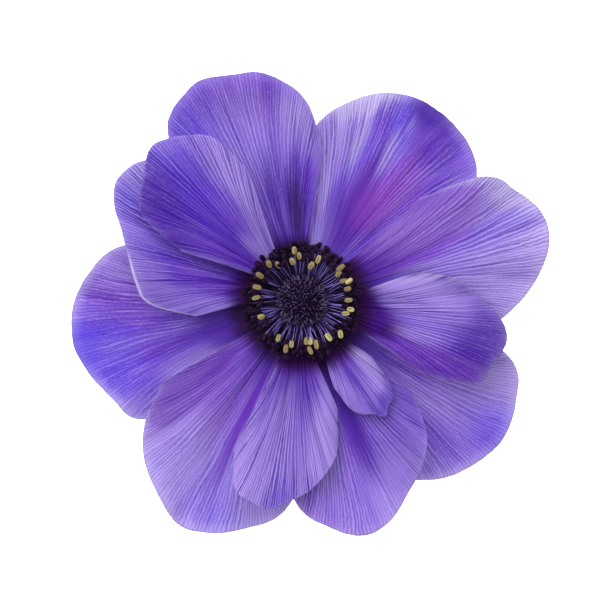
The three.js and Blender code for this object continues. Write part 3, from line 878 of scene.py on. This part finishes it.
def make_tepal(tepal, settings):
    """A thin blade on the tepal's surface, with fine ribs, in place of its solid."""
    if tepal.layer == 0:
        settle(tepal, settings)
    bm = bmesh.new()
    bm.loops.layers.uv.new("Blade")
    bmesh.ops.create_grid(
        bm, x_segments=settings.cells_across, y_segments=settings.cells_along, size=0.5, calc_uvs=True)
    bm.verts.layers.float.new("Crest")
    bm.verts.layers.float.new("Radius")
    # A new layer moves the one before it, so both are looked up here
    crest_layer = bm.verts.layers.float["Crest"]
    radius_layer = bm.verts.layers.float["Radius"]
    for vertex in bm.verts:
        across, along = vertex.co.x + 0.5, vertex.co.y + 0.5
        crease = (1 - crease_at(tepal, across, along)) * crease_strength(tepal, across, along)
        vertex[crest_layer] = 1 - crease
        vertex.co = tepal_point(tepal, across, along, settings.relief)
        vertex[radius_layer] = (vertex.co - AXIS).xy.length / MM
    bmesh.ops.recalc_face_normals(bm, faces=bm.faces)
    if sum(face.normal.z for face in bm.faces) < 0:
        bmesh.ops.reverse_faces(bm, faces=bm.faces)
    colours = palette(settings)
    piece = new_object(tepal.name + "_blade", bm, tepal_material(tepal, colours))
    piece.data.materials.append(tepal_material(tepal, colours, underside=True))
    solidify = piece.modifiers.new("Thickness", "SOLIDIFY")
    solidify.thickness = settings.thickness
    solidify.offset = 0
    solidify.material_offset = 1
    dress(piece, tepal.name)


def strand_material(name):
    """A matt colour that changes from root to tip, and turns to another on some strands."""
    root, tip, worn, worn_share, roughness, specular = STRAND_FINISHES[name]
    shader = Shader(name)
    place = shader.node("ShaderNodeTexCoord", {}, {}).outputs["Object"]
    grain = shader.noise(place, 5000.0, 3.0)
    share = shader.attribute("Tip") * grain.ease(0.3, 0.6, 0.5, 1.0)
    colour = shader.mix(tone(*root), tone(*tip), share)
    wear = shader.attribute("Tint").ease(0.15, 0.85, 0.0, worn_share)
    surface = shader.node("ShaderNodeBsdfPrincipled", {}, {
        "Base Color": shader.mix(colour, tone(*worn), wear), "Roughness": roughness,
        "Specular IOR Level": specular,
    })
    return shader.finish(surface.outputs[0])


def stem_material():
    """Green skin with brown ridges, purple towards the bloom, and pale pith at the cut."""
    shader = Shader("stem_skin")
    place = shader.node("ShaderNodeTexCoord", {}, {}).outputs["Object"]
    height = Number(shader, shader.node("ShaderNodeSeparateXYZ", {}, {0: place}).outputs[2])
    ridges = shader.noise(shader.stretch(place, (1600.0, 1600.0, 160.0)), 1.0, 3.0)
    grain = shader.noise(place, 2600.0, 3.0)
    ragged_height = height + (grain - 0.5) * 0.003
    colour = shader.mix(tone(*STEM_GREEN), tone(*STEM_BROWN), ridges.ease(0.42, 0.65, 0.0, 0.8))
    colour = shader.mix(colour, tone(*STEM_PURPLE), ragged_height.ease(0.0025, 0.006, 0.0, 0.8))
    colour = shader.mix(colour, tone(*STEM_PITH), height.ease(0.0005, 0.00042))
    bump = shader.node("ShaderNodeBump", {}, {
        "Strength": 0.5, "Distance": 0.0001, "Height": ridges + grain,
    })
    surface = shader.node("ShaderNodeBsdfPrincipled", {}, {
        "Base Color": colour, "Roughness": 0.6, "Normal": bump.outputs[0], "Specular IOR Level": 0.25,
    })
    return shader.finish(surface.outputs[0])


def palette(settings):
    """The colours by name, from the settings."""
    return {name: tuple(getattr(settings, name)) for name in (*CLEARNESS, "light_through")}


def colour_property(name, description, colour):
    """A colour setting."""
    return FloatVectorProperty(name=name, description=description, subtype="COLOR", default=tone(*colour),
                               min=0, max=1)


class AnemoneSettings(bpy.types.PropertyGroup):
    """Sizes and colours of the bloom."""

    thickness: FloatProperty(
        name="Tepal thickness", description="Thickness of a tepal", default=0.3 * MM, unit="LENGTH")
    relief: FloatProperty(
        name="Relief", description="Share of the fine ribs and dents in the tepals", default=1.0,
        subtype="FACTOR")
    cells_across: IntProperty(name="Cells across", description="Mesh cells across a tepal", default=140)
    cells_along: IntProperty(name="Cells along", description="Mesh cells along a tepal", default=80)
    style_count: IntProperty(name="Styles", description="Styles on the pistil head", default=960)
    seed: IntProperty(name="Seed", description="Start of the chance places", default=11)
    violet: colour_property("Violet", "Main colour of the tepals", (100, 28, 200))
    lilac: colour_property("Lilac", "Main colour of the lighter tepals", (124, 72, 210))
    pale: colour_property("Pale", "Pale areas and streaks", (176, 150, 230))
    silver: colour_property("Silver", "Pale ground of the upper tepals", (198, 168, 255))
    white: colour_property("White", "Palest rims", (222, 212, 240))
    blue: colour_property("Blue", "Bluish areas", (70, 36, 212))
    purple: colour_property("Purple", "Reddish areas", (122, 42, 172))
    magenta: colour_property("Magenta", "Reddest area", (146, 44, 178))
    # Painted shade in a fold, a vivid dark violet
    ink: colour_property("Ink", "Vivid dark fold", (90, 22, 166))
    # Deep also serves as painted shade in the creases and where a tepal beneath holds back the light
    deep: colour_property("Deep", "Dark folds and streaks", (58, 2, 136))
    # Shade and the darkest tone colour the dark base: partly pigment, partly painted shade under the
    # stamens
    shade: colour_property("Shade", "Dark base of the tepals", (40, 3, 62))
    night: colour_property("Night", "Darkest base, round the stamens", (16, 3, 26))
    vein: colour_property("Vein", "Veins", (36, 0, 120))
    silk: colour_property("Silk", "Paler underside", (170, 160, 210))
    light_through: colour_property("Light through", "Light that passes through a tepal", (213, 208, 228))


def new_strands():
    """An empty bmesh whose points hold their share of the way to the tip, and a tint."""
    bm = bmesh.new()
    bm.verts.layers.float.new("Tip")
    bm.verts.layers.float.new("Tint")
    return bm


def strand_template():
    """A tapered rod along Z from 0 to 1, with rings along it to bend."""
    bm = bmesh.new()
    bmesh.ops.create_cone(bm, cap_ends=True, segments=6, radius1=1.0, radius2=0.55, depth=1.0)
    bmesh.ops.translate(bm, verts=bm.verts, vec=(0, 0, 0.5))
    long_edges = [e for e in bm.edges if abs(e.verts[0].co.z - e.verts[1].co.z) > 0.5]
    bmesh.ops.subdivide_edges(bm, edges=long_edges, cuts=4, use_grid_fill=True)
    return new_mesh("strand_template", bm)


def anther_template():
    """A two-lobed anther along X, one unit long, with a groove down each face."""
    bm = bmesh.new()
    bmesh.ops.create_uvsphere(bm, u_segments=12, v_segments=8, radius=0.5)
    bmesh.ops.rotate(bm, verts=bm.verts, matrix=Matrix.Rotation(math.pi / 2, 3, "Y"))
    for vertex in bm.verts:
        x, y, z = vertex.co
        groove = 1 - ANTHER_GROOVE * math.exp(-(y / ANTHER_GROOVE_WIDTH) ** 2) * (1 - 2 * abs(x))
        blunt = 1 + ANTHER_BLUNTNESS * (2 * x) ** 2
        vertex.co = Vector((x, y * blunt, z * groove * blunt))
    return new_mesh("anther_template", bm)


def add_template(bm, template, tint, tip_share):
    """Adds a template to the strands, marks its points and returns them."""
    before = len(bm.verts)
    bm.from_mesh(template)
    bm.verts.ensure_lookup_table()
    added = bm.verts[before:]
    tip_layer = bm.verts.layers.float["Tip"]
    tint_layer = bm.verts.layers.float["Tint"]
    for vertex in added:
        vertex[tip_layer] = tip_share(vertex.co)
        vertex[tint_layer] = tint
    return added


def add_strand(bm, template, root, tip, sag, radius, tint, bright_from=1.0):
    """A strand from root to tip that sag bends halfway, with its tip's colour from bright_from on."""
    way = tip - root
    # A direction that no strand takes
    side = way.cross(Vector((0.13, 0.29, 1))).normalized()
    lift = side.cross(way).normalized()
    for vertex in add_template(bm, template, tint, lambda co: min(co.z / bright_from, 1)):
        x, y, share = vertex.co
        vertex.co = root + way * share + sag * math.sin(math.pi * share) + (side * x + lift * y) * radius


def add_anther(bm, template, matrix, tint):
    """An anther whose groove is marked as its tip."""
    def groove(co):
        return math.exp(-(co.y / 0.13) ** 2) * (1 - (2 * co.x) ** 2 * 0.8)

    for vertex in add_template(bm, template, tint, groove):
        vertex.co = matrix @ vertex.co


def stray(chance, reach):
    """A chance number between reach and its negative."""
    return chance.uniform(-reach, reach)


class ANEMONE_OT_tepals(bpy.types.Operator):
    """Adds the twelve tepals"""
    bl_idname = "anemone.tepals"
    bl_label = "Tepals"

    def execute(self, context):
        for tepal in TEPALS:
            make_tepal(tepal, context.scene.anemone)
        return {"FINISHED"}


class ANEMONE_OT_stamens(bpy.types.Operator):
    """Adds the filaments and anthers"""
    bl_idname = "anemone.stamens"
    bl_label = "Stamens"

    def execute(self, context):
        settings = context.scene.anemone
        chance = random.Random(settings.seed)
        places = [
            (math.radians(azimuth), radius, YELLOW_HEIGHT, True) for azimuth, radius in YELLOW_ANTHERS
        ]
        for count, radius, height in DARK_WHORLS:
            start = chance.uniform(0, math.tau)
            for index in range(count):
                azimuth = start + (index + stray(chance, WHORL_STRAY)) * math.tau / count
                places.append((azimuth, radius + stray(chance, RADIUS_STRAY), height, False))
        filaments, dark, yellow = new_strands(), new_strands(), new_strands()
        rod, anther = strand_template(), anther_template()
        for azimuth, radius, height, is_yellow in places:
            height += stray(chance, HEIGHT_STRAY)
            root = polar(ROOT_RADIUS, azimuth + stray(chance, ROOT_STRAY), ROOT_HEIGHT)
            tip = polar(radius, azimuth, height)
            sag = Vector((stray(chance, SAG_ACROSS), stray(chance, SAG_ACROSS), chance.uniform(*SAG_UP)))
            thickness = chance.uniform(*FILAMENT_RADIUS) * MM
            tint = chance.random()
            add_strand(filaments, rod, root, tip, sag * MM, thickness, tint, FILAMENT_BRIGHT_FROM)
            length = chance.uniform(*(YELLOW_LENGTH if is_yellow else DARK_LENGTH))
            width = chance.uniform(*ANTHER_WIDTH)
            size = Matrix.Diagonal((length * MM, width * MM, ANTHER_THICKNESS * MM, 1))
            lean = chance.gauss(0, YELLOW_LEAN if is_yellow else DARK_LEAN)
            turn = (
                Matrix.Rotation(azimuth + lean, 4, "Z")
                @ Matrix.Rotation(chance.uniform(*ANTHER_DIP), 4, "Y")
                @ Matrix.Rotation(chance.gauss(0, ANTHER_ROLL), 4, "X")
            )
            matrix = Matrix.Translation(tip) @ turn @ size
            add_anther(yellow if is_yellow else dark, anther, matrix, chance.random() ** 0.7)
        bpy.data.meshes.remove(rod)
        bpy.data.meshes.remove(anther)
        # A dark disc of painted shade beneath the filaments, in their root colour
        painted_shade_disc = bmesh.ops.create_circle(filaments, cap_ends=True, segments=48, radius=PAINTED_SHADE_DISC_RADIUS * MM)
        bmesh.ops.translate(filaments, verts=painted_shade_disc["verts"], vec=polar(0, 0, ROOT_HEIGHT))
        for name, bm in (("filaments", filaments), ("dark_anthers", dark), ("yellow_anthers", yellow)):
            dress(new_object(name, bm, strand_material(name)), "stamens")
        return {"FINISHED"}


class ANEMONE_OT_pistil_head(bpy.types.Operator):
    """Adds the dome of carpels with its styles"""
    bl_idname = "anemone.pistil_head"
    bl_label = "Pistil head"

    def execute(self, context):
        settings = context.scene.anemone
        chance = random.Random(settings.seed + 1)
        waist = polar(0, 0, HEAD_WAIST)
        bm = new_strands()
        rod = strand_template()
        for index in range(settings.style_count):
            share = (index + 0.5) / settings.style_count
            lift = math.asin(1 - STYLE_COVER * share)
            azimuth = index * GOLDEN_ANGLE + stray(chance, STYLE_TURN)
            outward = Vector((
                math.cos(lift) * math.cos(azimuth), math.cos(lift) * math.sin(azimuth), math.sin(lift),
            ))
            foot = waist + outward * Vector((HEAD_RADIUS, HEAD_RADIUS, HEAD_HEIGHT)) * STYLE_SINK * MM
            lean = Vector([chance.gauss(0, spread) for spread in STYLE_LEAN])
            length = chance.uniform(*STYLE_LENGTH) + STYLE_LENGTH_AT_WAIST * share ** 3
            tip = foot + (outward + lean).normalized() * length * MM
            sag = Vector((chance.gauss(0, STYLE_BEND), chance.gauss(0, STYLE_BEND), STYLE_SAG)) * MM
            tint = chance.random() ** 0.5
            add_strand(bm, rod, foot, tip, sag, STYLE_RADIUS * MM, tint)
        bpy.data.meshes.remove(rod)
        dome = bmesh.ops.create_uvsphere(bm, u_segments=48, v_segments=24, radius=1.0)["verts"]
        for vertex in dome:
            height = HEAD_HEIGHT if vertex.co.z > 0 else HEAD_BELLY
            vertex.co = waist + vertex.co * Vector((HEAD_RADIUS, HEAD_RADIUS, height)) * MM
        material = strand_material("pistil_velvet")
        dress(new_object("pistil_dome", bm, material), "pistil_head")
        return {"FINISHED"}


class ANEMONE_OT_stem(bpy.types.Operator):
    """Adds the cut stem and receptacle"""
    bl_idname = "anemone.stem"
    bl_label = "Stem"

    def execute(self, context):
        bm = bmesh.new()
        points = [bm.verts.new((radius * MM, 0, height * MM)) for radius, height in STEM_PROFILE]
        edges = [bm.edges.new(pair) for pair in zip(points, points[1:])]
        bmesh.ops.subdivide_edges(bm, edges=edges, cuts=3)
        bmesh.ops.spin(
            bm, geom=[*bm.verts, *bm.edges], cent=(0, 0, 0), axis=(0, 0, 1), angle=math.tau, steps=88,
            use_merge=True)
        bmesh.ops.remove_doubles(bm, verts=bm.verts, dist=0.001 * MM)
        for vertex in bm.verts:
            azimuth = math.atan2(vertex.co.y, vertex.co.x)
            rib = 1 + RIB_DEPTH * math.cos(RIB_COUNT * azimuth + RIB_TWIST * vertex.co.z)
            vertex.co = Vector((vertex.co.x * rib, vertex.co.y * rib, vertex.co.z)) + AXIS
        bmesh.ops.recalc_face_normals(bm, faces=bm.faces)
        dress(new_object("cut_stem", bm, stem_material()), "receptacle_and_stem")
        return {"FINISHED"}


class ANEMONE_OT_stage(bpy.types.Operator):
    """Adds the floor, the lights and the camera"""
    bl_idname = "anemone.stage"
    bl_label = "Stage"

    def execute(self, context):
        bm = bmesh.new()
        bmesh.ops.create_grid(bm, x_segments=1, y_segments=1, size=FLOOR_SIZE)
        shader = Shader("floor")
        surface = shader.node("ShaderNodeBsdfPrincipled", {}, {
            "Base Color": (0.8, 0.8, 0.8, 1), "Roughness": 0.8,
            "Emission Color": (1, 1, 1, 1), "Emission Strength": FLOOR_GLOW,
        })
        floor = new_object("floor", bm, shader.finish(surface.outputs[0]))

        world = bpy.data.worlds.new("studio")
        context.scene.world = world
        world.use_nodes = True
        background = world.node_tree.nodes["Background"]
        background.inputs["Color"].default_value = (1, 1, 1, 1)
        background.inputs["Strength"].default_value = ROOM_LIGHT
        for name, place, size, power in LAMPS:
            light = bpy.data.lights.new(name, "AREA")
            light.size = size
            light.energy = power
            lamp = bpy.data.objects.new(name, light)
            lamp.location = place
            lamp.rotation_euler = (-Vector(place)).to_track_quat("-Z", "Y").to_euler()
            lamp.visible_camera = False
            context.scene.collection.objects.link(lamp)

        camera = bpy.data.objects.new("camera", bpy.data.cameras.new("camera"))
        camera.data.sensor_width = SENSOR_WIDTH
        camera.data.lens = SENSOR_WIDTH * CAMERA_HEIGHT / (PHOTO_WIDTH * PIXEL_MM * MM)
        shift_x = (PHOTO_WIDTH / 2 - BLOOM_CENTRE_PX[0]) * PIXEL_MM * MM
        shift_y = (BLOOM_CENTRE_PX[1] - PHOTO_HEIGHT / 2) * PIXEL_MM * MM
        camera.location = (shift_x, shift_y, CAMERA_HEIGHT)
        camera.data.clip_end = CAMERA_REACH
        context.scene.collection.objects.link(camera)
        context.scene.camera = camera
        context.scene.view_settings.view_transform = "Standard"
        return {"FINISHED"}


class ANEMONE_PT_panel(bpy.types.Panel):
    """Lists the bloom's settings and pieces"""
    bl_label = "Anemone"
    bl_space_type = "VIEW_3D"
    bl_region_type = "UI"
    bl_category = "Anemone"

    def draw(self, context):
        for name in AnemoneSettings.__annotations__:
            self.layout.prop(context.scene.anemone, name)
        for operator in OPERATORS:
            self.layout.operator(operator.bl_idname)


OPERATORS = (
    ANEMONE_OT_stage, ANEMONE_OT_tepals, ANEMONE_OT_stamens, ANEMONE_OT_pistil_head, ANEMONE_OT_stem,
)
CLASSES = (AnemoneSettings, *OPERATORS, ANEMONE_PT_panel)


def register():
    """Makes the settings, operators and panel known."""
    for cls in CLASSES:
        bpy.utils.register_class(cls)
    bpy.types.Scene.anemone = PointerProperty(type=AnemoneSettings)


def unregister():
    """Takes them away again."""
    del bpy.types.Scene.anemone
    for cls in reversed(CLASSES):
        bpy.utils.unregister_class(cls)


def main():
    """Builds the bloom and its stage."""
    register()
    bpy.ops.anemone.stage()
    bpy.ops.anemone.tepals()
    bpy.ops.anemone.stamens()
    bpy.ops.anemone.pistil_head()
    bpy.ops.anemone.stem()


if __name__ == "__main__":
    main()
